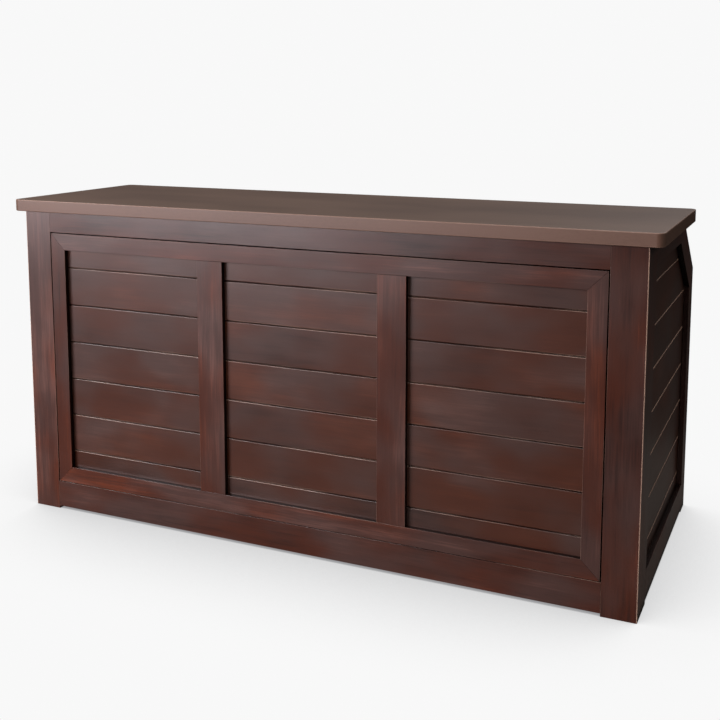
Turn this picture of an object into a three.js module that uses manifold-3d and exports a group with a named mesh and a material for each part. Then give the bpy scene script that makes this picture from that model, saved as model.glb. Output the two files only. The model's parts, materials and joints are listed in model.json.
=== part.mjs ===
// A dark-stained wooden storage chest with an overhanging hinged lid.
// The carcass is frame-and-panel work: corner posts and rails hold V-jointed planks.
// The front holds a mitred panel with three bays, and the top rear corner slopes,
// so that the open lid can lean back while the chest stands against a wall.
// Units are millimetres: X runs along the front, Y from front to back and Z up.
// Pieces are laid out from the front face (y = 0), the middle (x = 0) and the ground.
import * as THREE from "three";
import { mergeVertices } from "three/addons/utils/BufferGeometryUtils.js";
import Module from "manifold-3d";

const wasm = await Module();
wasm.setup();

// Carcass
const CARCASS_WIDTH = 1175;
const CARCASS_DEPTH = 525;
const CARCASS_HEIGHT = 587;
const SLOPE_TOP_Y = 376; // the slope leaves the top here
const SLOPE_BOTTOM_Z = 478; // and reaches the back face here
const JOINT_GAP = 0.3;
const FRAME_THICKNESS = 24;
const POST_WIDTH = 57;
const POST_DEPTH = 72;
const BACK_POST_WIDTH = 42;
const TOP_RAIL_HEIGHT = 38;
const BOTTOM_RAIL_LOW = 5;
const BOTTOM_RAIL_HIGH = 56;
const SLOPE_RAIL_WIDTH = 50;
const TENON_LENGTH = 14;
const TENON_THICKNESS = 10;
const TENON_SETBACK = 7;
const TENON_SHOULDER = 8;

// Planks and the grooves that hold them
const PLANK_THICKNESS = 10;
const PLANK_PITCH = 72.1;
const PLANK_SETBACK = 9.6;
const V_JOINT = 1.5;
const TONGUE_HEIGHT = 4;
const TONGUE_THICKNESS = 3;
const GROOVE_DEPTH = 8;
const EXPANSION_GAP = 0.5;
const FRONT_TOP_JOINT_Z = 481;
const FRONT_PLANKS = 7;
const SIDE_TOP_JOINT_Z = 514;
const SIDE_PLANKS = 8;

// Mitred panel inset in the front
const PANEL_SIDE_GAP = 2;
const PANEL_BOTTOM_GAP = 1;
const PANEL_MEMBER = 31;
const MUNTIN_WIDTH = 52;
const MUNTIN_OFFSET = 175.5;
const STOP_WIDTH = 18;

// Back, floor and lid
const BACK_PANEL_THICKNESS = 8;
const BACK_PANEL_SETBACK = 8;
const KNEE_RAIL_LOW = 440;
const HINGE_RAIL_FRONT_Y = 330;
const HINGE_RAIL_THICKNESS = 22;
const SLOPE_PANEL_THICKNESS = 12;
const FLOOR_LOW = 38;
const FLOOR_THICKNESS = 12;
const CLEAT = 18;
const LID_WIDTH = 1219;
const LID_THICKNESS = 22;
const LID_FRONT_Y = -9;
const LID_BACK_Y = 359;
const LID_CORNER_RADIUS = 14;
const LID_CLEARANCE = 0.5;
const BATTEN = { width: 60, thickness: 18, offset: 330, front: 60, back: 300 };

// Hinges: a barrel on the ledge behind the lid, one leaf over the slope, one on the lid's edge
const HINGE_OFFSETS = { left: -430, centre: 0, right: 430 };
const HINGE_LENGTH = 76;
const LEAF_THICKNESS = 2;
const KNUCKLE_RADIUS = 5;
const MIDDLE_KNUCKLE = 25.2;
const PIN_RADIUS = 2.4;
const BORE_RADIUS = 2.7;
const HINGE_AXIS_Y = 366.5;
const HINGE_AXIS_Z = CARCASS_HEIGHT + LEAF_THICKNESS + KNUCKLE_RADIUS + 2 * JOINT_GAP;
const SLOPE_LEAF_BACK_Y = 402;
const LID_LEAF_MARGIN = 2;

// Modelling
const CURVE_SEGMENTS = 8;
const MERGE_DISTANCE = 1e-4;
const OVERRUN = 1; // solids that are joined or cut run past each other by this much

// Where the members end
const HALF_WIDTH = CARCASS_WIDTH / 2;
const POST_INNER_X = HALF_WIDTH - POST_WIDTH;
const FRAME_INNER_X = HALF_WIDTH - FRAME_THICKNESS;
const TOP_RAIL_LOW = CARCASS_HEIGHT - TOP_RAIL_HEIGHT;
const LID_LOW = CARCASS_HEIGHT + LID_CLEARANCE;
const SIDES = { left: -1, right: 1 };

const stainedWood = new THREE.MeshStandardMaterial({ color: 0x4a2a22, roughness: 0.38 });
const plankWood = new THREE.MeshStandardMaterial({ color: 0x52302a, roughness: 0.4 });
const lidLaminate = new THREE.MeshStandardMaterial({ color: 0x62544c, roughness: 0.45 });
const innerWood = new THREE.MeshStandardMaterial({ color: 0x8a6a4c, roughness: 0.7 });
const hingeSteel = new THREE.MeshStandardMaterial({ color: 0x6b6258, metalness: 1, roughness: 0.4 });

// ---------------------------------------------------------------- solids

function toSolid(geometry) {
  geometry.deleteAttribute("normal");
  geometry.deleteAttribute("uv");
  const merged = mergeVertices(geometry, MERGE_DISTANCE);
  return new wasm.Manifold(new wasm.Mesh({
    numProp: 3,
    vertProperties: merged.attributes.position.array,
    triVerts: Uint32Array.from(merged.index.array),
  }));
}

function toGeometry(solid) {
  const mesh = solid.getMesh();
  const geometry = new THREE.BufferGeometry();
  geometry.setAttribute("position", new THREE.BufferAttribute(mesh.vertProperties, 3));
  geometry.setIndex(new THREE.BufferAttribute(mesh.triVerts, 1));
  geometry.computeVertexNormals();
  return geometry;
}

function extrude(axis, shape, from, to) {
  const geometry = new THREE.ExtrudeGeometry(shape, {
    depth: to - from,
    bevelEnabled: false,
    curveSegments: CURVE_SEGMENTS,
  });
  if (axis === "x") {
    // outline in (y, z)
    geometry.rotateX(Math.PI / 2);
    geometry.rotateZ(Math.PI / 2);
    geometry.translate(from, 0, 0);
  } else if (axis === "y") {
    // outline in (x, z)
    geometry.rotateX(Math.PI / 2);
    geometry.translate(0, to, 0);
  } else {
    geometry.translate(0, 0, from);
  }
  return toSolid(geometry);
}

function prism(axis, outline, from, to) {
  const shape = new THREE.Shape(outline.map(([u, v]) => new THREE.Vector2(u, v)));
  return extrude(axis, shape, Math.min(from, to), Math.max(from, to));
}

function block([x0, x1], [y0, y1], [z0, z1]) {
  return prism("z", [[x0, y0], [x1, y0], [x1, y1], [x0, y1]], z0, z1);
}

function rod(radius, x0, x1) {
  const circle = new THREE.Shape();
  circle.absarc(HINGE_AXIS_Y, HINGE_AXIS_Z, radius, 0, 2 * Math.PI);
  return extrude("x", circle, x0, x1);
}

// Moves each edge of a counter-clockwise outline inwards by its own distance.
function insetOutline(outline, distances) {
  const lines = outline.map(([u, v], i) => {
    const [nextU, nextV] = outline[(i + 1) % outline.length];
    const length = Math.hypot(nextU - u, nextV - v);
    const normal = [-(nextV - v) / length, (nextU - u) / length];
    return { normal, offset: normal[0] * u + normal[1] * v + distances[i] };
  });
  return lines.map((line, i) => {
    const before = lines[(i + lines.length - 1) % lines.length];
    const cross = before.normal[0] * line.normal[1] - before.normal[1] * line.normal[0];
    return [
      (before.offset * line.normal[1] - line.offset * before.normal[1]) / cross,
      (before.normal[0] * line.offset - line.normal[0] * before.offset) / cross,
    ];
  });
}

function grow(outline, distance) {
  return insetOutline(outline, outline.map(() => -distance));
}

function addPiece(group, name, solid, material) {
  const mesh = new THREE.Mesh(toGeometry(solid), material);
  mesh.name = name;
  group.add(mesh);
}

// ---------------------------------------------------------------- side outlines, in (y, z)

const SIDE_OUTER = [
  [0, 0],
  [CARCASS_DEPTH, 0],
  [CARCASS_DEPTH, SLOPE_BOTTOM_Z],
  [SLOPE_TOP_Y, CARCASS_HEIGHT],
  [0, CARCASS_HEIGHT],
];
const SIDE_OPENING = insetOutline(
  SIDE_OUTER,
  [BOTTOM_RAIL_HIGH, BACK_POST_WIDTH, SLOPE_RAIL_WIDTH, TOP_RAIL_HEIGHT, POST_DEPTH],
);

function slopeZ(y) {
  const fall = (CARCASS_HEIGHT - SLOPE_BOTTOM_Z) / (CARCASS_DEPTH - SLOPE_TOP_Y);
  return CARCASS_HEIGHT - (y - SLOPE_TOP_Y) * fall;
}

// The space that a side's planks fill, widened by the clearance round them.
function sidePanelSpace(side, clearance) {
  const face = HALF_WIDTH - PLANK_SETBACK + clearance;
  const outline = grow(SIDE_OPENING, GROOVE_DEPTH - EXPANSION_GAP + clearance);
  return prism("x", outline, side * face, side * (face - PLANK_THICKNESS - 2 * clearance));
}

// ---------------------------------------------------------------- joinery

function sideRailTenon(side, y, z0, z1, clearance) {
  const outer = side * (HALF_WIDTH - TENON_SETBACK + clearance);
  const inner = side * (HALF_WIDTH - TENON_SETBACK - TENON_THICKNESS - clearance);
  const reach = TENON_LENGTH + clearance;
  return block(
    [Math.min(outer, inner), Math.max(outer, inner)],
    y < CARCASS_DEPTH / 2 ? [y - reach, y + OVERRUN] : [y - OVERRUN, y + reach],
    [z0 + TENON_SHOULDER - clearance, z1 - TENON_SHOULDER + clearance],
  );
}

function frontRailTenon(side, z0, z1, clearance) {
  const outer = side * (POST_INNER_X + TENON_LENGTH + clearance);
  const inner = side * (POST_INNER_X - OVERRUN);
  return block(
    [Math.min(outer, inner), Math.max(outer, inner)],
    [TENON_SETBACK - clearance, TENON_SETBACK + TENON_THICKNESS + clearance],
    [z0 + TENON_SHOULDER - clearance, z1 - TENON_SHOULDER + clearance],
  );
}

// A plank's section: depth from its face, and height. V-joints show at the face.
function plankSection(low, high, isLowest, isHighest) {
  const tongue = (PLANK_THICKNESS - TONGUE_THICKNESS) / 2;
  const top = isHighest
    ? [[0, high], [PLANK_THICKNESS, high]]
    : [
      [0, high - V_JOINT],
      [V_JOINT, high],
      [tongue, high],
      [tongue, high + TONGUE_HEIGHT],
      [tongue + TONGUE_THICKNESS, high + TONGUE_HEIGHT],
      [tongue + TONGUE_THICKNESS, high],
      [PLANK_THICKNESS, high],
    ];
  const slot = tongue - JOINT_GAP;
  const slotTop = low + TONGUE_HEIGHT + 2 * JOINT_GAP;
  const bottom = isLowest
    ? [[PLANK_THICKNESS, low], [0, low]]
    : [
      [PLANK_THICKNESS, low],
      [PLANK_THICKNESS - slot, low],
      [PLANK_THICKNESS - slot, slotTop],
      [slot, slotTop],
      [slot, low],
      [V_JOINT, low],
      [0, low + V_JOINT],
    ];
  return [...top, ...bottom];
}

// The heights of each plank's lower and upper edge, from the top plank down.
function plankHeights(count, topJoint, low, high) {
  return Array.from({ length: count }, (_, k) => {
    const upper = k === 0 ? high : topJoint - (k - 1) * PLANK_PITCH;
    const lower = k === count - 1 ? low : topJoint - k * PLANK_PITCH + JOINT_GAP;
    return { lower, upper, isHighest: k === 0, isLowest: k === count - 1 };
  });
}

// ---------------------------------------------------------------- front

function makeFrontFrame() {
  const group = new THREE.Group();
  const rails = { top: [TOP_RAIL_LOW, CARCASS_HEIGHT], bottom: [BOTTOM_RAIL_LOW, BOTTOM_RAIL_HIGH] };
  for (const [sideName, side] of Object.entries(SIDES)) {
    const inner = side * POST_INNER_X;
    const outer = side * HALF_WIDTH;
    let post = block(
      [Math.min(inner, outer), Math.max(inner, outer)],
      [0, POST_DEPTH],
      [0, CARCASS_HEIGHT],
    ).subtract(sidePanelSpace(side, JOINT_GAP));
    for (const [z0, z1] of Object.values(rails)) {
      post = post
        .subtract(frontRailTenon(side, z0, z1, JOINT_GAP))
        .subtract(sideRailTenon(side, POST_DEPTH, z0, z1, JOINT_GAP));
    }
    addPiece(group, `front_${sideName}_post`, post, stainedWood);
  }
  for (const [railName, [z0, z1]] of Object.entries(rails)) {
    const end = POST_INNER_X - JOINT_GAP;
    const rail = block([-end, end], [0, FRAME_THICKNESS], [z0, z1])
      .add(frontRailTenon(SIDES.left, z0, z1, 0))
      .add(frontRailTenon(SIDES.right, z0, z1, 0));
    addPiece(group, `front_${railName}_rail`, rail, stainedWood);
  }
  return group;
}

function makeFrontPanel() {
  const group = new THREE.Group();
  const halfWidth = POST_INNER_X - PANEL_SIDE_GAP;
  const low = BOTTOM_RAIL_HIGH + PANEL_BOTTOM_GAP;
  const high = TOP_RAIL_LOW - PANEL_SIDE_GAP;
  const outer = [[-halfWidth, low], [halfWidth, low], [halfWidth, high], [-halfWidth, high]];
  const opening = grow(outer, -PANEL_MEMBER);
  const mitreGaps = [0, JOINT_GAP / 2, 0, JOINT_GAP / 2];
  const groove = prism(
    "y",
    grow(opening, GROOVE_DEPTH - EXPANSION_GAP + JOINT_GAP),
    PLANK_SETBACK - JOINT_GAP,
    PLANK_SETBACK + PLANK_THICKNESS + JOINT_GAP,
  );
  ["bottom_rail", "right_stile", "top_rail", "left_stile"].forEach((memberName, k) => {
    const next = (k + 1) % outer.length;
    const outline = insetOutline([outer[k], outer[next], opening[next], opening[k]], mitreGaps);
    const member = prism("y", outline, 0, FRAME_THICKNESS).subtract(groove);
    addPiece(group, `panel_${memberName}`, member, stainedWood);
  });

  const [openLow, openHigh] = [opening[0][1], opening[2][1]];
  for (const [sideName, side] of Object.entries(SIDES)) {
    const middle = side * MUNTIN_OFFSET;
    const muntin = block(
      [middle - MUNTIN_WIDTH / 2, middle + MUNTIN_WIDTH / 2],
      [0, PLANK_SETBACK - JOINT_GAP],
      [openLow + JOINT_GAP, openHigh - JOINT_GAP],
    );
    addPiece(group, `panel_${sideName}_muntin`, muntin, stainedWood);

    const stopOuter = side * (POST_INNER_X - JOINT_GAP);
    const stopInner = side * (POST_INNER_X - STOP_WIDTH);
    const stop = block(
      [Math.min(stopOuter, stopInner), Math.max(stopOuter, stopInner)],
      [FRAME_THICKNESS + JOINT_GAP, FRAME_THICKNESS + STOP_WIDTH],
      [low, high],
    );
    addPiece(group, `front_${sideName}_stop`, stop, innerWood);
  }

  const reach = opening[1][0] + GROOVE_DEPTH - EXPANSION_GAP;
  const heights = plankHeights(
    FRONT_PLANKS,
    FRONT_TOP_JOINT_Z,
    openLow - GROOVE_DEPTH + EXPANSION_GAP,
    openHigh + GROOVE_DEPTH - EXPANSION_GAP,
  );
  heights.forEach(({ lower, upper, isLowest, isHighest }, k) => {
    const section = plankSection(lower, upper, isLowest, isHighest);
    const outline = section.map(([depth, z]) => [PLANK_SETBACK + depth, z]);
    addPiece(group, `front_plank_${k + 1}`, prism("x", outline, -reach, reach), plankWood);
  });
  return group;
}

// ---------------------------------------------------------------- sides

function makeSide(sideName, side) {
  const group = new THREE.Group();
  const space = sidePanelSpace(side, JOINT_GAP);
  const [low, lowBack, kneeInner, slopeInner, high] = SIDE_OPENING;
  const knee = SIDE_OUTER[2];
  const slopeTop = SIDE_OUTER[3];
  const sideBoard = (outline) =>
    prism("x", outline, side * HALF_WIDTH, side * FRAME_INNER_X).subtract(space);

  const bottomRail = sideBoard([
    [low[0] + JOINT_GAP, BOTTOM_RAIL_LOW],
    [lowBack[0] - JOINT_GAP, BOTTOM_RAIL_LOW],
    [lowBack[0] - JOINT_GAP, BOTTOM_RAIL_HIGH],
    [low[0] + JOINT_GAP, BOTTOM_RAIL_HIGH],
  ])
    .add(sideRailTenon(side, POST_DEPTH, BOTTOM_RAIL_LOW, BOTTOM_RAIL_HIGH, 0))
    .add(sideRailTenon(side, lowBack[0], BOTTOM_RAIL_LOW, BOTTOM_RAIL_HIGH, 0));
  addPiece(group, `${sideName}_bottom_rail`, bottomRail, stainedWood);

  const topRail = sideBoard(insetOutline(
    [high, slopeInner, slopeTop, [high[0], CARCASS_HEIGHT]],
    [0, JOINT_GAP / 2, 0, JOINT_GAP],
  )).add(sideRailTenon(side, POST_DEPTH, TOP_RAIL_LOW, CARCASS_HEIGHT, 0));
  addPiece(group, `${sideName}_top_rail`, topRail, stainedWood);

  const slopeRail = sideBoard(insetOutline(
    [kneeInner, knee, slopeTop, slopeInner],
    [JOINT_GAP / 2, 0, JOINT_GAP / 2, 0],
  ));
  addPiece(group, `${sideName}_slope_rail`, slopeRail, stainedWood);

  const backPost = sideBoard(insetOutline(
    [[lowBack[0], 0], [CARCASS_DEPTH, 0], knee, kneeInner],
    [0, 0, JOINT_GAP / 2, 0],
  ))
    .subtract(backPanel(JOINT_GAP))
    .subtract(sideRailTenon(side, lowBack[0], BOTTOM_RAIL_LOW, BOTTOM_RAIL_HIGH, JOINT_GAP));
  addPiece(group, `back_${sideName}_post`, backPost, stainedWood);

  const panelSpace = sidePanelSpace(side, 0);
  const heights = plankHeights(
    SIDE_PLANKS,
    SIDE_TOP_JOINT_Z,
    low[1] - GROOVE_DEPTH + EXPANSION_GAP,
    high[1] + GROOVE_DEPTH - EXPANSION_GAP,
  );
  heights.forEach(({ lower, upper, isLowest, isHighest }, k) => {
    const section = plankSection(lower, upper, isLowest, isHighest);
    const outline = section.map(([depth, z]) => [side * (HALF_WIDTH - PLANK_SETBACK - depth), z]);
    const plank = prism("y", outline, 0, CARCASS_DEPTH).intersect(panelSpace);
    addPiece(group, `${sideName}_plank_${k + 1}`, plank, plankWood);
  });
  return group;
}

// ---------------------------------------------------------------- back and floor

function backPanel(clearance) {
  const reach = FRAME_INNER_X + GROOVE_DEPTH - EXPANSION_GAP + clearance;
  const back = CARCASS_DEPTH - BACK_PANEL_SETBACK;
  return block(
    [-reach, reach],
    [back - BACK_PANEL_THICKNESS - clearance, back + clearance],
    [
      BOTTOM_RAIL_HIGH - GROOVE_DEPTH + EXPANSION_GAP - clearance,
      KNEE_RAIL_LOW + GROOVE_DEPTH - EXPANSION_GAP + clearance,
    ],
  );
}

function makeBack() {
  const group = new THREE.Group();
  const end = FRAME_INNER_X - JOINT_GAP;
  const railFront = CARCASS_DEPTH - FRAME_THICKNESS;
  const groove = backPanel(JOINT_GAP);
  const backBoard = (outline) => prism("x", outline, -end, end);

  const bottomRail = backBoard([
    [railFront, BOTTOM_RAIL_LOW],
    [CARCASS_DEPTH, BOTTOM_RAIL_LOW],
    [CARCASS_DEPTH, BOTTOM_RAIL_HIGH],
    [railFront, BOTTOM_RAIL_HIGH],
  ]).subtract(groove);
  addPiece(group, "back_bottom_rail", bottomRail, stainedWood);

  const kneeRail = backBoard([
    [railFront, KNEE_RAIL_LOW],
    [CARCASS_DEPTH, KNEE_RAIL_LOW],
    [CARCASS_DEPTH, SLOPE_BOTTOM_Z],
    [railFront, slopeZ(railFront)],
  ]).subtract(groove);
  addPiece(group, "back_knee_rail", kneeRail, stainedWood);

  addPiece(group, "back_panel", backPanel(0), innerWood);

  const railLow = CARCASS_HEIGHT - HINGE_RAIL_THICKNESS;
  const slopeStep = (CARCASS_DEPTH - SLOPE_TOP_Y) / (CARCASS_HEIGHT - SLOPE_BOTTOM_Z);
  const slopeY = (z) => SLOPE_TOP_Y + (CARCASS_HEIGHT - z) * slopeStep;
  const hingeRail = backBoard([
    [HINGE_RAIL_FRONT_Y, railLow],
    [slopeY(railLow), railLow],
    [SLOPE_TOP_Y, CARCASS_HEIGHT],
    [HINGE_RAIL_FRONT_Y, CARCASS_HEIGHT],
  ]);
  addPiece(group, "hinge_rail", hingeRail, stainedWood);

  const panelTop = railLow - JOINT_GAP;
  const panelBack = railFront - JOINT_GAP;
  const slopeLength = Math.hypot(1, slopeStep);
  const thicknessAlongY = SLOPE_PANEL_THICKNESS * slopeLength;
  const thicknessAlongZ = thicknessAlongY / slopeStep;
  const slopePanel = backBoard([
    [slopeY(panelTop) - thicknessAlongY, panelTop],
    [panelBack, slopeZ(panelBack) - thicknessAlongZ],
    [panelBack, slopeZ(panelBack)],
    [slopeY(panelTop), panelTop],
  ]);
  addPiece(group, "slope_panel", slopePanel, stainedWood);
  return group;
}

function makeFloor() {
  const group = new THREE.Group();
  const front = FRAME_THICKNESS + JOINT_GAP;
  const back = CARCASS_DEPTH - FRAME_THICKNESS - JOINT_GAP;
  const notchX = POST_INNER_X - JOINT_GAP;
  const notchY = POST_DEPTH + JOINT_GAP;
  const reach = FRAME_INNER_X - JOINT_GAP;
  const floor = prism("z", [
    [-notchX, front],
    [notchX, front],
    [notchX, notchY],
    [reach, notchY],
    [reach, back],
    [-reach, back],
    [-reach, notchY],
    [-notchX, notchY],
  ], FLOOR_LOW, FLOOR_LOW + FLOOR_THICKNESS);
  addPiece(group, "floor_panel", floor, innerWood);

  const cleatHeights = [FLOOR_LOW - JOINT_GAP - CLEAT, FLOOR_LOW - JOINT_GAP];
  const frontCleat = block([-notchX, notchX], [front, front + CLEAT], cleatHeights);
  const backCleat = block([-reach, reach], [back - CLEAT, back], cleatHeights);
  addPiece(group, "floor_front_cleat", frontCleat, innerWood);
  addPiece(group, "floor_back_cleat", backCleat, innerWood);
  return group;
}

// ---------------------------------------------------------------- lid and hinges

function lidShape() {
  const x = LID_WIDTH / 2 - LID_CORNER_RADIUS;
  const front = LID_FRONT_Y + LID_CORNER_RADIUS;
  const back = LID_BACK_Y - LID_CORNER_RADIUS;
  const shape = new THREE.Shape();
  shape.absarc(x, back, LID_CORNER_RADIUS, 0, Math.PI / 2);
  shape.absarc(-x, back, LID_CORNER_RADIUS, Math.PI / 2, Math.PI);
  shape.absarc(-x, front, LID_CORNER_RADIUS, Math.PI, 1.5 * Math.PI);
  shape.absarc(x, front, LID_CORNER_RADIUS, 1.5 * Math.PI, 2 * Math.PI);
  return shape;
}

function makeLid() {
  const group = new THREE.Group();
  const board = extrude("z", lidShape(), LID_LOW, LID_LOW + LID_THICKNESS);
  addPiece(group, "lid_board", board, lidLaminate);
  for (const [sideName, side] of Object.entries(SIDES)) {
    const middle = side * BATTEN.offset;
    const batten = block(
      [middle - BATTEN.width / 2, middle + BATTEN.width / 2],
      [BATTEN.front, BATTEN.back],
      [LID_LOW - JOINT_GAP - BATTEN.thickness, LID_LOW - JOINT_GAP],
    );
    addPiece(group, `lid_${sideName}_batten`, batten, innerWood);
  }
  return group;
}

// The leaf that wraps from the ledge down the slope, its two outer knuckles and the pin.
function hingeBodyLeaf() {
  const half = HINGE_LENGTH / 2;
  const knuckleInner = MIDDLE_KNUCKLE / 2 + JOINT_GAP;
  const leaf = prism("x", grow(SIDE_OUTER, JOINT_GAP + LEAF_THICKNESS), -half, half)
    .subtract(prism("x", grow(SIDE_OUTER, JOINT_GAP), -half - OVERRUN, half + OVERRUN))
    .intersect(block(
      [-half, half],
      [HINGE_AXIS_Y - KNUCKLE_RADIUS, SLOPE_LEAF_BACK_Y],
      [slopeZ(SLOPE_LEAF_BACK_Y) - OVERRUN, HINGE_AXIS_Z],
    ));
  let solid = leaf.add(rod(PIN_RADIUS, -half, half));
  for (const [x0, x1] of [[-half, -knuckleInner], [knuckleInner, half]]) {
    const web = block(
      [x0, x1],
      [HINGE_AXIS_Y, HINGE_AXIS_Y + KNUCKLE_RADIUS],
      [CARCASS_HEIGHT + JOINT_GAP, HINGE_AXIS_Z],
    );
    solid = solid.add(web).add(rod(KNUCKLE_RADIUS, x0, x1));
  }
  return solid;
}

// The leaf on the lid's rear edge and its middle knuckle, bored to turn on the pin.
function hingeLidLeaf() {
  const half = HINGE_LENGTH / 2;
  const middle = MIDDLE_KNUCKLE / 2;
  const front = LID_BACK_Y + JOINT_GAP;
  const leaf = block(
    [-half, half],
    [front, front + LEAF_THICKNESS],
    [LID_LOW + LID_LEAF_MARGIN, LID_LOW + LID_THICKNESS - LID_LEAF_MARGIN],
  );
  const web = block(
    [-middle, middle],
    [front, HINGE_AXIS_Y],
    [HINGE_AXIS_Z + BORE_RADIUS, HINGE_AXIS_Z + KNUCKLE_RADIUS],
  );
  return leaf
    .add(web)
    .add(rod(KNUCKLE_RADIUS, -middle, middle))
    .subtract(rod(BORE_RADIUS, -middle - OVERRUN, middle + OVERRUN));
}

function makeHinge(place, offset) {
  const group = new THREE.Group();
  addPiece(group, `hinge_${place}_body_leaf`, hingeBodyLeaf(), hingeSteel);
  addPiece(group, `hinge_${place}_lid_leaf`, hingeLidLeaf(), hingeSteel);
  group.position.x = offset;
  return group;
}

// ---------------------------------------------------------------- the chest

const chest = new THREE.Group();
chest.add(makeFrontFrame(), makeFrontPanel(), makeBack(), makeFloor(), makeLid());
for (const [sideName, side] of Object.entries(SIDES)) {
  chest.add(makeSide(sideName, side));
}
for (const [place, offset] of Object.entries(HINGE_OFFSETS)) {
  chest.add(makeHinge(place, offset));
}
// The origin is on the ground, under the middle of the whole chest.
chest.position.y = -(LID_FRONT_Y + CARCASS_DEPTH) / 2;

export default chest;
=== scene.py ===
"""The looks of the wooden chest: stained boards, laminate lid, plain inner wood and bronzed hinges."""

import json
import math
import random

import bmesh
import bpy
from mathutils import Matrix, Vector


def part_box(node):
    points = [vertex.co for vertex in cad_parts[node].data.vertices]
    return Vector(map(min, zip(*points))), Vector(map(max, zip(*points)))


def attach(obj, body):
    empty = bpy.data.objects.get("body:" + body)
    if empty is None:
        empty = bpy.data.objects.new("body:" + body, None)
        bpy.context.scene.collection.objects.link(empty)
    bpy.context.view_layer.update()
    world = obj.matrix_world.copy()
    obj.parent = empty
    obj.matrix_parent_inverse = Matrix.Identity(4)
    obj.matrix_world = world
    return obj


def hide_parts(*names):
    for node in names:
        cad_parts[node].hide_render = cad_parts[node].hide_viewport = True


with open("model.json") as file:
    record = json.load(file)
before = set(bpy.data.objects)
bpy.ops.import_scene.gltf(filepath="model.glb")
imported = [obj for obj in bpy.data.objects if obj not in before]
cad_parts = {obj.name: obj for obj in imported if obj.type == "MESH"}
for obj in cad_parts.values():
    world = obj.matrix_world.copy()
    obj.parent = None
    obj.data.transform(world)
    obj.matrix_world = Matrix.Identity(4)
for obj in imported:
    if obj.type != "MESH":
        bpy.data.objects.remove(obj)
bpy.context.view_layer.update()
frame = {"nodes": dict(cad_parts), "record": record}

MM = 0.001
post_low, post_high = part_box("front_right_post")
CARCASS_HALF_WIDTH = post_high.x
CARCASS_FRONT = post_low.y

# Camera, with its lens shifted down so that the chest's uprights stay nearly parallel
CAMERA_PLACE = (0.8329, -1.8331, 0.8099)
CAMERA_HEADING = math.radians(24.38)
CAMERA_TILT = math.radians(-7.35)
CAMERA_LENS = 52.79
CAMERA_SHIFT_Y = -0.18

# Cleaning the CAD solids, and telling their edges apart
WELD_DISTANCE = 0.02 * MM
LEVEL_DISTANCE = 0.1 * MM
FLAT_ANGLE = math.radians(1)
ARRIS_ANGLE = math.radians(25)
SHARP_ANGLE = math.radians(40)
END_FACE_DOT = 0.3  # a face whose normal leans along the grain by more than this ends the board
V_JOINT_RISE = (0.5, 0.9)  # normal.z of the V-joints' upward slopes
CORNER_REACH = 1.0 * MM

# Rounded edges, and how far each kind is rubbed through the stain and painted pale as a highlight,
# from 0 to 1
ARRIS_WIDTH = 0.4 * MM
CORNER_ARRIS_WIDTH = 1.4 * MM
LID_ARRIS_WIDTH = 1.6 * MM
LID_CORNER_STEPS = 16
HINGE_ARRIS_WIDTH = 0.35 * MM
LIGHT_WEAR_AND_HIGHLIGHT = 0.5
FULL_WEAR_AND_HIGHLIGHT = 1.0

# Colours
# The pale colour of rubbed arrises, partly wear and partly a painted highlight
BARE_WOOD_AND_HIGHLIGHT = (0.50, 0.33, 0.25)
# Painted shade for inner corners and recesses, and how far the occlusion that places it reaches
PAINTED_SHADE_COLOUR = (0.004, 0.002, 0.0015)
PAINTED_SHADE_REACH = 25 * MM
LAMINATE_TOP = (0.090, 0.055, 0.041), (0.124, 0.077, 0.057)
LAMINATE_EDGING = (0.096, 0.051, 0.034), (0.130, 0.070, 0.048)
# The lid's rubbed arrises, partly wear and partly a painted highlight
RUBBED_AND_HIGHLIT_LAMINATE = (0.32, 0.20, 0.15)
BRONZE = (0.15, 0.12, 0.095), (0.22, 0.18, 0.145)
RUBBED_BRONZE = (0.50, 0.43, 0.35)

# How far a board's pattern is moved along, across and through it, so that no two are alike
GRAIN_SHIFTS = (-40, 40), (-0.05, 0.05), (0.04, 0.14)
# Tones run from 0 to 1 and are drawn at random, apart from these two boards at the left, which are set
# lighter
LIGHTER_LEFT_BOARDS = {"front_left_post_board": 1.0, "panel_left_muntin_board": 0.9}

# Slotted screws in the hinge leaves; places are along the hinge and up the leaf from its middle
SCREW_RADIUS = 3.1 * MM
SCREW_TOP_RADIUS = 2.5 * MM
SCREW_HEIGHT = 0.7 * MM
SLOT_WIDTH = 0.9 * MM
SLOT_FLOOR = 0.15 * MM
SLOT_FLOOR_RADIUS = 0.98 * SCREW_RADIUS
SCREW_ARC_STEPS = 12
BODY_LEAF_SCREWS = ((-26, -5), (0, 5), (26, -5))
LID_LEAF_SCREWS = ((-28, 5), (28, 5))

# Stage
FLOOR_REACH = 30
PALE = (0.94, 0.94, 0.94)
FLOOR_SHADOW = (0.30, 0.30, 0.31)
FLOOR_SHADOW_REACH = 0.45
FLOOR_BOUNCE_NEAR = (0.17, 0.155, 0.14)
FLOOR_BOUNCE_FAR = (0.035, 0.03, 0.027)
FLOOR_BOUNCE_FADE = (0.60, 1.15)
SKY_LOW = (0.015, 0.015, 0.015)
SKY_HIGH = (0.30, 0.30, 0.30)
WHITE = (1, 1, 1)

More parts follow.
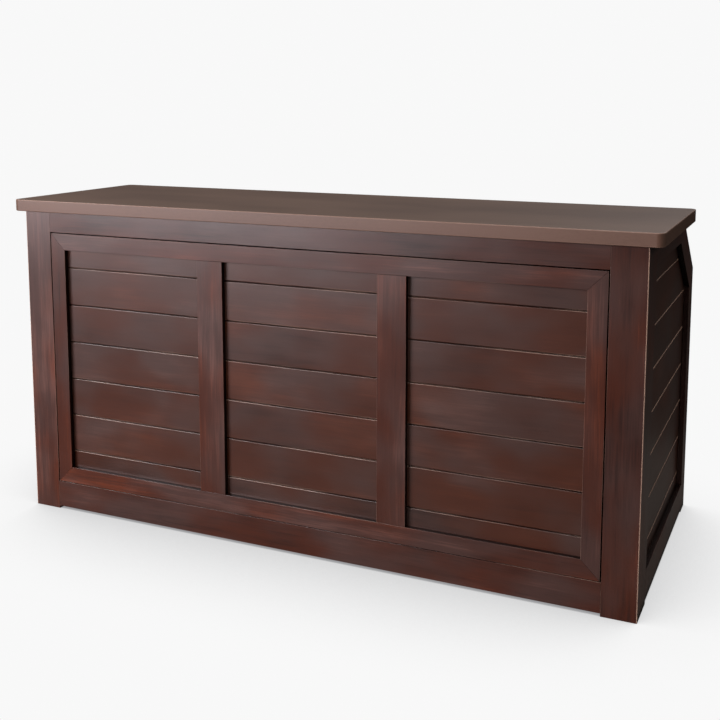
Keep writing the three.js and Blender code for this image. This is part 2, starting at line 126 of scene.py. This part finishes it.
# Softboxes: name, place, what it is aimed at, width and height, watts, colour
SOFTBOXES = (
    ("key", (-1.95, -2.92, 1.0), (-0.15, 0, 0.4), (2.0, 1.0), 128, (1.0, 0.92, 0.96)),
    ("front", (0.50, -3.2, 1.9), (0, 0, 0.3), (0.9, 0.9), 19, WHITE),
    ("right", (3.2, 0.4, 1.4), (0.5, 0, 0.3), (0.9, 0.9), 9, (1.0, 0.90, 0.82)),
    ("top_left", (-2.1, -0.6, 2.3), (-0.3, -0.2, 0.3), (0.7, 0.7), 30, WHITE),
    ("top_right", (0.1, -0.75, 3.0), (0.3, -0.2, 0.3), (0.8, 0.6), 17, WHITE),
    ("back", (0.8, 2.6, 3.4), (0, 0.2, 0.3), (1.6, 1.2), 40, WHITE),
)


# ---------------------------------------------------------------- node helpers

class Nodes:
    """A material's node tree, with short ways to add and link what the materials here need."""

    def __init__(self, name):
        self.material = bpy.data.materials.new(name)
        self.material.use_nodes = True
        self.tree = self.material.node_tree
        self.shader = self.tree.nodes["Principled BSDF"]

    def add(self, kind, **settings):
        node = self.tree.nodes.new(kind)
        for key, value in settings.items():
            setattr(node, key, value)
        return node

    def link(self, value, socket):
        """Feeds a socket from another socket, or sets it to a plain value."""
        if isinstance(value, bpy.types.NodeSocket):
            self.tree.links.new(value, socket)
        else:
            socket.default_value = value

    def attribute(self, name, output):
        node = self.add("ShaderNodeAttribute", attribute_name=name)
        return node.outputs[output]

    def math(self, operation, a, b=0.0, c=0.0):
        node = self.add("ShaderNodeMath", operation=operation)
        for value, socket in zip((a, b, c), node.inputs):
            self.link(value, socket)
        return node.outputs[0]

    def scaled(self, vector, scale):
        node = self.add("ShaderNodeVectorMath", operation="MULTIPLY")
        self.link(vector, node.inputs[0])
        node.inputs[1].default_value = scale
        return node.outputs[0]

    def added(self, a, b):
        node = self.add("ShaderNodeVectorMath", operation="ADD")
        self.link(a, node.inputs[0])
        self.link(b, node.inputs[1])
        return node.outputs[0]

    def noise(self, vector, scale=1.0, detail=2.0, roughness=0.5):
        node = self.add("ShaderNodeTexNoise")
        self.link(vector, node.inputs["Vector"])
        node.inputs["Scale"].default_value = scale
        node.inputs["Detail"].default_value = detail
        node.inputs["Roughness"].default_value = roughness
        return node.outputs["Fac"]

    def ramp(self, value, *stops):
        """A smooth colour ramp through (position, colour) stops."""
        node = self.add("ShaderNodeValToRGB")
        node.color_ramp.interpolation = "EASE"
        elements = node.color_ramp.elements
        while len(elements) < len(stops):
            elements.new(0.5)
        for element, (position, colour) in zip(elements, stops):
            element.position = position
            element.color = (*colour, 1)
        self.link(value, node.inputs["Fac"])
        return node.outputs["Color"]

    def two_tone(self, value, tones):
        """From the darker tone to the lighter one over the middle of a noise's range."""
        dark, light = tones
        return self.ramp(value, (0.35, dark), (0.65, light))

    def step(self, value, low, high):
        """0 below low and 1 above high, smooth between; falls instead where low > high."""
        node = self.add("ShaderNodeMapRange", interpolation_type="SMOOTHSTEP")
        self.link(value, node.inputs["Value"])
        node.inputs["From Min"].default_value = min(low, high)
        node.inputs["From Max"].default_value = max(low, high)
        node.inputs["To Min"].default_value = 0.0 if low < high else 1.0
        node.inputs["To Max"].default_value = 1.0 if low < high else 0.0
        return node.outputs["Result"]

    def mix(self, factor, a, b):
        node = self.add("ShaderNodeMix", data_type="RGBA")
        self.link(factor, node.inputs["Factor"])
        colours = [s for s in node.inputs if s.type == "RGBA"]
        for value, socket in zip((a, b), colours):
            self.link(value if isinstance(value, bpy.types.NodeSocket) else (*value, 1), socket)
        return next(s for s in node.outputs if s.type == "RGBA")

    def bump(self, height, strength, distance):
        node = self.add("ShaderNodeBump")
        node.inputs["Strength"].default_value = strength
        node.inputs["Distance"].default_value = distance
        self.link(height, node.inputs["Height"])
        self.link(node.outputs["Normal"], self.shader.inputs["Normal"])

    def part(self, vector, axis):
        """One of a vector's three parts, by its name."""
        node = self.add("ShaderNodeSeparateXYZ")
        self.link(vector, node.inputs[0])
        return node.outputs[axis]

    def centred(self, value):
        """A vector whose three parts are all the value less a half."""
        node = self.add("ShaderNodeCombineXYZ")
        for socket in node.inputs:
            self.link(self.math("SUBTRACT", value, 0.5), socket)
        return node.outputs[0]

    def set(self, **values):
        for key, value in values.items():
            self.link(value, self.shader.inputs[key.replace("_", " ")])


# ---------------------------------------------------------------- materials

def wood(name, dark, middle, light, arris, patchy_wear_and_highlight, painted_shade_strength, roughness, cloud=1.0, figure=1.0):
    """Solid wood read in each board's own frame: x along the grain, y across, z through.

    The patterns' frequencies are per metre along those three. The wear argument is how much
    of the arrises is rubbed bare and painted pale as a highlight, and the shade argument how dark
    the painted shade in inner corners and recesses is; cloud is the strength of the uneven stain, and
    figure that of the grain.
    """
    n = Nodes(name)
    grain = n.attribute("grain", "Vector")
    tone = n.attribute("tone", "Fac")
    edge = n.attribute("arris", "Fac")

    sway = n.noise(n.scaled(grain, (2.5, 9, 9)), detail=1)
    swayed = n.added(grain, n.scaled(n.centred(sway), (0, 0.012, 0.012)))
    fibre = n.noise(n.scaled(swayed, (14, 420, 420)), detail=3, roughness=0.65)
    streak = n.noise(n.scaled(swayed, (5, 100, 100)), detail=2, roughness=0.5)
    stain = n.noise(n.scaled(grain, (6, 11, 11)), detail=3, roughness=0.5)
    hue = n.noise(n.added(n.scaled(grain, (6, 10, 10)), (7.3, 1.9, 4.4)), detail=2)
    pores = n.noise(n.scaled(swayed, (45, 1000, 1000)), detail=1)

    # The stain: uneven over the board, and taken up more or less by the grain
    shade = 0.5
    layers = ((stain, 0.46 * cloud), (streak, 0.28 * figure), (fibre, 0.34 * figure), (tone, 0.14))
    for layer, weight in layers:
        shade = n.math("MULTIPLY_ADD", n.math("SUBTRACT", layer, 0.5), weight, shade)
    colour = n.ramp(shade, (0.28, dark), (0.50, middle), (0.72, light))
    redder = n.add("ShaderNodeHueSaturation")
    richness = n.math("MULTIPLY_ADD", n.step(hue, 0.34, 0.66), 0.38 * cloud, 0.95 - 0.19 * cloud)
    n.link(richness, redder.inputs["Saturation"])
    n.link(colour, redder.inputs["Color"])
    colour = redder.outputs[0]

    # Knots and pores
    knots = n.add("ShaderNodeTexVoronoi", feature="F1")
    n.link(n.scaled(grain, (2.3, 9, 2)), knots.inputs["Vector"])
    knots.inputs["Scale"].default_value = 1.0
    knot = n.step(knots.outputs["Distance"], 0.15, 0.04)
    colour = n.mix(n.math("MULTIPLY", knot, 0.75 * cloud), colour, dark)
    colour = n.mix(n.math("MULTIPLY", n.step(pores, 0.64, 0.74), 0.3), colour, dark)

    # Painted shade: near-black colour in inner corners and recesses, placed by occlusion, but not on
    # the faces that look to the front
    openness = n.add("ShaderNodeAmbientOcclusion", samples=8)
    openness.inputs["Distance"].default_value = PAINTED_SHADE_REACH
    normal = n.add("ShaderNodeNewGeometry").outputs["Normal"]
    off_the_front = n.step(n.part(normal, "Y"), -0.95, -0.8)
    painted_shade_mask = n.math("MULTIPLY", n.step(openness.outputs["AO"], 0.90, 0.70), off_the_front)
    colour = n.mix(n.math("MULTIPLY", painted_shade_mask, painted_shade_strength), colour, PAINTED_SHADE_COLOUR)

    # Lightly marked arrises are bare in patches, and fully marked ones all along; the pale tint is
    # partly rubbed-through wear and partly a painted highlight
    patchy = n.step(n.noise(n.scaled(grain, (7, 45, 45)), detail=3), 0.42, 0.64)
    fully_rubbed_and_highlit = n.step(edge, 0.6, 0.9)
    rubbed_and_highlit = n.math("MULTIPLY", edge, n.math("MAXIMUM", fully_rubbed_and_highlit, n.math("MULTIPLY", patchy, patchy_wear_and_highlight)))
    colour = n.mix(rubbed_and_highlit, colour, arris)

    n.set(Base_Color=colour, Coat_Weight=0.1, Coat_Roughness=0.3)
    # The painted shade also takes away part of the reflection in those corners and recesses
    n.set(Specular_IOR_Level=n.math("MULTIPLY_ADD", painted_shade_mask, -0.5 * painted_shade_strength, 0.5))
    n.set(Roughness=n.math("MULTIPLY_ADD", stain, 0.10, roughness - 0.05))
    height = n.math("MULTIPLY_ADD", fibre, 0.6, n.math("MULTIPLY", streak, 0.4))
    n.bump(height, 0.4, 0.2 * MM)
    return n.material


def laminate(name):
    """The lid's smooth brown top and its redder edging, with a fine grain and a soft sheen."""
    n = Nodes(name)
    grain = n.attribute("grain", "Vector")
    edge = n.attribute("arris", "Fac")
    fine = n.noise(n.scaled(grain, (160, 420, 420)), detail=3, roughness=0.6)
    cloud = n.noise(n.scaled(grain, (3, 7, 7)), detail=2)
    shade = n.math("MULTIPLY_ADD", fine, 0.35, n.math("MULTIPLY", cloud, 0.65))
    top = n.two_tone(shade, LAMINATE_TOP)
    edging = n.two_tone(shade, LAMINATE_EDGING)
    normal = n.add("ShaderNodeTexCoord").outputs["Normal"]
    colour = n.mix(n.step(n.math("ABSOLUTE", n.part(normal, "Z")), 0.5, 0.9), edging, top)
    # Rubbed arrises: the pale tint is partly wear and partly a painted highlight
    colour = n.mix(n.math("MULTIPLY", edge, 0.35), colour, RUBBED_AND_HIGHLIT_LAMINATE)
    n.set(Base_Color=colour, Specular_IOR_Level=0.4)
    n.set(Roughness=n.math("MULTIPLY_ADD", fine, 0.10, 0.40))
    n.bump(fine, 0.2, 0.1 * MM)
    return n.material


def bronzed_steel(name):
    """Dark bronzed steel, brushed along the hinge and rubbed bright on its arrises."""
    n = Nodes(name)
    grain = n.attribute("grain", "Vector")
    brushed = n.noise(n.scaled(grain, (60, 1800, 1800)), detail=2)
    patina = n.noise(grain, scale=60, detail=3)
    edge = n.attribute("arris", "Fac")
    colour = n.mix(n.math("MULTIPLY", edge, 0.5), n.two_tone(patina, BRONZE), RUBBED_BRONZE)
    n.set(Base_Color=colour, Metallic=1.0)
    n.set(Roughness=n.math("MULTIPLY_ADD", brushed, 0.2, 0.28))
    n.bump(brushed, 0.15, 0.03 * MM)
    return n.material


MATERIALS = {
    "stained_frame": wood(
        "stained_frame",
        dark=(0.026, 0.0092, 0.0066), middle=(0.056, 0.0175, 0.0112), light=(0.120, 0.0360, 0.0210),
        arris=BARE_WOOD_AND_HIGHLIGHT, patchy_wear_and_highlight=0.6, painted_shade_strength=0.9, roughness=0.30,
    ),
    "stained_planks": wood(
        "stained_planks",
        dark=(0.030, 0.0118, 0.0084), middle=(0.055, 0.0195, 0.0124), light=(0.095, 0.0335, 0.0205),
        arris=BARE_WOOD_AND_HIGHLIGHT, patchy_wear_and_highlight=0.8, painted_shade_strength=0.8, roughness=0.32, figure=0.6,
    ),
    "inner_wood": wood(
        "inner_wood",
        dark=(0.290, 0.185, 0.105), middle=(0.410, 0.272, 0.160), light=(0.500, 0.345, 0.210),
        arris=(0.50, 0.36, 0.24), patchy_wear_and_highlight=0.6, painted_shade_strength=0.0, roughness=0.62, cloud=0.3,
    ),
    "lid_laminate": laminate("lid_laminate"),
    "hinge_steel": bronzed_steel("hinge_steel"),
}


# ---------------------------------------------------------------- meshes from the frame's solids

def cleaned_solid(node):
    """The CAD solid with its facets merged back to whole faces."""
    solid = bmesh.new()
    solid.from_mesh(frame["nodes"][node].data)
    bmesh.ops.remove_doubles(solid, verts=solid.verts, dist=WELD_DISTANCE)
    bmesh.ops.dissolve_limit(solid, angle_limit=FLAT_ANGLE, verts=solid.verts, edges=solid.edges)
    return solid


def ease_arrises(solid, along, width, segments=3):
    """Rounds the sharp edges that run with the grain; those of an end or a mitre stay crisp."""
    sharp = [
        edge for edge in solid.edges
        if edge.is_manifold and edge.calc_face_angle() > ARRIS_ANGLE
        and all(abs(face.normal.dot(along)) < END_FACE_DOT for face in edge.link_faces)
    ]
    corners = [edge for edge in sharp if is_front_corner(edge)]
    others = [edge for edge in sharp if edge not in corners]
    round_edges(solid, others, width, segments, LIGHT_WEAR_AND_HIGHLIGHT)
    corners = [edge for edge in corners if edge.is_valid]
    round_edges(solid, corners, CORNER_ARRIS_WIDTH, segments + 1, FULL_WEAR_AND_HIGHLIGHT)


def is_front_corner(edge):
    """True for the upright arrises at the carcass's two front corners, which take the knocks and whose
    pale rubbed colour is also a painted highlight.
    """
    return all(
        abs(abs(v.co.x) - CARCASS_HALF_WIDTH) < CORNER_REACH
        and abs(v.co.y - CARCASS_FRONT) < CORNER_REACH
        for v in edge.verts
    )


def round_edges(solid, edges, width, segments, edge_wear_and_highlight):
    """Bevels the edges, and marks the new faces in the solid's arris layer."""
    made = bmesh.ops.bevel(
        solid, geom=edges, offset=width, offset_type="OFFSET", segments=segments,
        profile=0.5, affect="EDGES", clamp_overlap=True,
    )
    layer = solid.faces.layers.float["arris"]
    for face in made["faces"]:
        face[layer] = edge_wear_and_highlight


def grain_axes(solid):
    """Along the longest edge, through the largest face, and across both."""
    longest = max(solid.edges, key=lambda e: e.calc_length())
    along = (longest.verts[1].co - longest.verts[0].co).normalized()
    largest = max(solid.faces, key=lambda f: f.calc_area())
    through = largest.normal.copy()
    return along, through.cross(along).normalized(), through


def store_grain(mesh, axes, seed):
    """Each point's place in its board's own grain, moved to a board of its own in the tree."""
    draw = random.Random(seed)
    points = [v.co.copy() for v in mesh.vertices]
    middle = sum(points, Vector()) / len(points)
    shift = Vector([draw.uniform(low, high) for low, high in GRAIN_SHIFTS])
    tone = LIGHTER_LEFT_BOARDS.get(seed, draw.random())
    mesh.attributes.new("grain", "FLOAT_VECTOR", "POINT")
    mesh.attributes.new("tone", "FLOAT", "POINT")
    for place, point in zip(mesh.attributes["grain"].data, points):
        place.vector = Vector([(point - middle).dot(axis) for axis in axes]) + shift
    for value in mesh.attributes["tone"].data:
        value.value = tone


def show(name, solid, axes, slot, body, node=None):
    """Turns a finished bmesh into a piece, which may stand for a CAD node."""
    mesh = bpy.data.meshes.new(name)
    solid.to_mesh(mesh)
    solid.free()
    store_grain(mesh, axes, name)
    mesh.materials.append(MATERIALS[slot])
    mesh.shade_smooth()
    mesh.set_sharp_from_angle(angle=SHARP_ANGLE)
    piece = bpy.data.objects.new(name, mesh)
    bpy.context.scene.collection.objects.link(piece)
    weighted = piece.modifiers.new("even_normals", "WEIGHTED_NORMAL")
    weighted.keep_sharp = True
    if node:
        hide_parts(node)
    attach(piece, body)


def mark_lips(solid):
    """Marks the upward slope of each V-joint as rubbed through to bare wood; the pale line is partly
    wear and partly a painted highlight.
    """
    layer = solid.faces.layers.float["arris"]
    lowest, highest = V_JOINT_RISE
    for face in solid.faces:
        if lowest < face.normal.z < highest:
            face[layer] = FULL_WEAR_AND_HIGHLIGHT


def make_board(node, slot, body):
    """A board of the carcass or a batten of the lid, with its arrises eased along the grain."""
    solid = cleaned_solid(node)
    axes = grain_axes(solid)
    solid.faces.layers.float.new("arris")
    if node.startswith(("left_plank", "right_plank")):
        mark_lips(solid)
    ease_arrises(solid, axes[0], ARRIS_WIDTH)
    show(f"{node}_board", solid, axes, slot, body, node)


def make_hinge_leaf(node, body):
    """A leaf with its knuckles, and the slotted screws that hold it."""
    solid = cleaned_solid(node)
    axes = grain_axes(solid)
    rear_faces = [f for f in solid.faces if f.normal.y > END_FACE_DOT]
    screwed = max(rear_faces, key=lambda f: f.calc_area())
    middle = screwed.calc_center_bounds()
    outward = screwed.normal.copy()
    solid.faces.layers.float.new("arris")
    ease_arrises(solid, axes[0], HINGE_ARRIS_WIDTH, segments=2)
    show(f"{node}_plate", solid, axes, "hinge_steel", body, node)

    screws = bmesh.new()
    screws.faces.layers.float.new("arris")
    along = Vector((1, 0, 0))
    up = along.cross(outward)
    turns = random.Random(node)
    for x, y in LID_LEAF_SCREWS if "lid" in node else BODY_LEAF_SCREWS:
        add_screw(screws, middle + (along * x + up * y) * MM, outward, turns.uniform(0, math.pi))
    show(f"{node}_screws", screws, (along, up, outward), "hinge_steel", body)


def add_screw(solid, centre, outward, turn):
    """A slotted head: a thin disc that carries two half moons."""
    side = Vector((1, 0, 0))
    slot = side * math.cos(turn) + side.cross(outward) * math.sin(turn)
    across = outward.cross(slot)

    def arc(radius, height, start, end):
        step = (end - start) / SCREW_ARC_STEPS
        angles = [start + step * k for k in range(SCREW_ARC_STEPS + 1)]
        return [
            centre + radius * (slot * math.cos(a) + across * math.sin(a)) + outward * height
            for a in angles
        ]

    for half in (0, math.pi):
        low = math.asin(SLOT_WIDTH / 2 / SCREW_RADIUS)
        top = math.asin(SLOT_WIDTH / 2 / SCREW_TOP_RADIUS)
        base_arc = arc(SCREW_RADIUS, 0, half + low, half + math.pi - low)
        top_arc = arc(SCREW_TOP_RADIUS, SCREW_HEIGHT, half + top, half + math.pi - top)
        add_frustum(solid, base_arc, top_arc)
    disc = arc(SLOT_FLOOR_RADIUS, 0, 0, 2 * math.pi)[:-1]
    add_frustum(solid, disc, [point + outward * SLOT_FLOOR for point in disc])


def add_frustum(solid, base, top):
    """A closed solid between two outlines with the same number of points."""
    lower = [solid.verts.new(point) for point in base]
    upper = [solid.verts.new(point) for point in top]
    solid.faces.new(lower[::-1])
    solid.faces.new(upper)
    for k in range(len(base)):
        after = (k + 1) % len(base)
        solid.faces.new((lower[k], lower[after], upper[after], upper[k]))


def make_lid_slab(node, slot, body):
    """The lid as one slab with round corners and eased arrises."""
    low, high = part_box(node)
    cad = cleaned_solid(node)
    straight_left = min(v.co.x for v in cad.verts if v.co.y - low.y < LEVEL_DISTANCE)
    cad.free()
    radius = straight_left - low.x
    solid = bmesh.new()
    ring = []
    centres = (
        (high.x - radius, high.y - radius),
        (low.x + radius, high.y - radius),
        (low.x + radius, low.y + radius),
        (high.x - radius, low.y + radius),
    )
    for quarter, (x, y) in enumerate(centres):
        for k in range(LID_CORNER_STEPS + 1):
            angle = math.pi / 2 * (quarter + k / LID_CORNER_STEPS)
            corner = (x + radius * math.cos(angle), y + radius * math.sin(angle), low.z)
            ring.append(solid.verts.new(corner))
    base = solid.faces.new(ring)
    grown = bmesh.ops.extrude_face_region(solid, geom=[base])
    top = [v for v in grown["geom"] if isinstance(v, bmesh.types.BMVert)]
    bmesh.ops.translate(solid, verts=top, vec=(0, 0, high.z - low.z))
    base.normal_flip()
    bmesh.ops.recalc_face_normals(solid, faces=solid.faces)
    axes = (Vector((1, 0, 0)), Vector((0, 1, 0)), Vector((0, 0, 1)))
    solid.faces.layers.float.new("arris")
    rims = [e for e in solid.edges if abs(e.verts[0].co.z - e.verts[1].co.z) < LEVEL_DISTANCE]
    round_edges(solid, rims, LID_ARRIS_WIDTH, 4, FULL_WEAR_AND_HIGHLIGHT)
    show(f"{node}_slab", solid, axes, slot, body, node)


def make_chest():
    """One piece for each CAD node, and the screws of each hinge leaf."""
    slots = {entry["node"]: entry["material_slot"] for entry in frame["record"]["subparts"]}
    bodies = frame["record"]["behaviour"]["bodies"]
    for body, nodes in bodies.items():
        for node in nodes:
            slot = slots[node]
            if node == "lid_board":
                make_lid_slab(node, slot, body)
            elif slot == "hinge_steel":
                make_hinge_leaf(node, body)
            else:
                make_board(node, slot, body)


# ---------------------------------------------------------------- stage

def make_camera():
    camera = bpy.data.objects.new("camera", bpy.data.cameras.new("camera"))
    bpy.context.scene.collection.objects.link(camera)
    camera.location = CAMERA_PLACE
    camera.rotation_euler = (math.pi / 2 + CAMERA_TILT, 0, CAMERA_HEADING)
    camera.data.lens = CAMERA_LENS
    camera.data.shift_y = CAMERA_SHIFT_Y
    bpy.context.scene.camera = camera


def camera_only(tree, seen, unseen):
    """Mixes a shader that only the camera sees with the one that lights and reflections see."""
    path = tree.nodes.new("ShaderNodeLightPath")
    choose = tree.nodes.new("ShaderNodeMixShader")
    tree.links.new(path.outputs["Is Camera Ray"], choose.inputs["Fac"])
    tree.links.new(unseen, choose.inputs[1])
    tree.links.new(seen, choose.inputs[2])
    return choose.outputs[0]


def make_floor():
    """A pale floor that glows for the camera, with a painted soft contact shadow, and which reflects
    little light into the dark lacquer.
    """
    mesh = bpy.data.meshes.new("floor")
    r = FLOOR_REACH
    mesh.from_pydata([(-r, -r, 0), (r, -r, 0), (r, r, 0), (-r, r, 0)], [], [(0, 1, 2, 3)])
    n = Nodes("pale_floor")
    distance = n.add("ShaderNodeVectorMath", operation="LENGTH")
    n.link(n.add("ShaderNodeTexCoord").outputs["Object"], distance.inputs[0])
    near, far = FLOOR_BOUNCE_FADE
    bounce = n.ramp(
        n.math("DIVIDE", distance.outputs["Value"], far),
        (near / far, FLOOR_BOUNCE_NEAR), (1.0, FLOOR_BOUNCE_FAR),
    )
    n.set(Base_Color=bounce, Roughness=0.9, Specular_IOR_Level=0.1)
    open_sky = n.add("ShaderNodeAmbientOcclusion", samples=16)
    open_sky.inputs["Distance"].default_value = FLOOR_SHADOW_REACH
    glow = n.add("ShaderNodeEmission")
    n.link(n.ramp(open_sky.outputs["AO"], (0.0, FLOOR_SHADOW), (0.9, PALE)), glow.inputs["Color"])
    surface = camera_only(n.tree, glow.outputs[0], n.shader.outputs[0])
    n.tree.links.new(surface, n.tree.nodes["Material Output"].inputs["Surface"])
    mesh.materials.append(n.material)
    floor = bpy.data.objects.new("floor", mesh)
    bpy.context.scene.collection.objects.link(floor)


def add_softbox(name, place, target, size, power, colour):
    light = bpy.data.lights.new(name, "AREA")
    light.shape = "RECTANGLE"
    light.size, light.size_y = size
    light.energy = power
    light.color = colour
    lamp = bpy.data.objects.new(name, light)
    lamp.location = place
    aim = Vector(target) - Vector(place)
    lamp.rotation_euler = aim.to_track_quat("-Z", "Y").to_euler()
    bpy.context.scene.collection.objects.link(lamp)


def make_world():
    world = bpy.data.worlds.new("studio")
    bpy.context.scene.world = world
    world.use_nodes = True
    tree = world.node_tree
    backdrop = tree.nodes["Background"]
    backdrop.inputs["Color"].default_value = (*PALE, 1)
    ambient = tree.nodes.new("ShaderNodeBackground")
    direction = tree.nodes.new("ShaderNodeTexCoord").outputs["Generated"]
    height = tree.nodes.new("ShaderNodeSeparateXYZ")
    tree.links.new(direction, height.inputs[0])
    sky = tree.nodes.new("ShaderNodeValToRGB")
    sky.color_ramp.interpolation = "EASE"
    sky.color_ramp.elements[0].color = (*SKY_LOW, 1)
    sky.color_ramp.elements[1].color = (*SKY_HIGH, 1)
    tree.links.new(height.outputs["Z"], sky.inputs["Fac"])
    tree.links.new(sky.outputs["Color"], ambient.inputs["Color"])
    surface = camera_only(tree, backdrop.outputs[0], ambient.outputs[0])
    tree.links.new(surface, tree.nodes["World Output"].inputs["Surface"])
    bpy.context.scene.view_settings.view_transform = "Standard"


make_chest()
make_camera()
make_floor()
for softbox in SOFTBOXES:
    add_softbox(*softbox)
make_world()
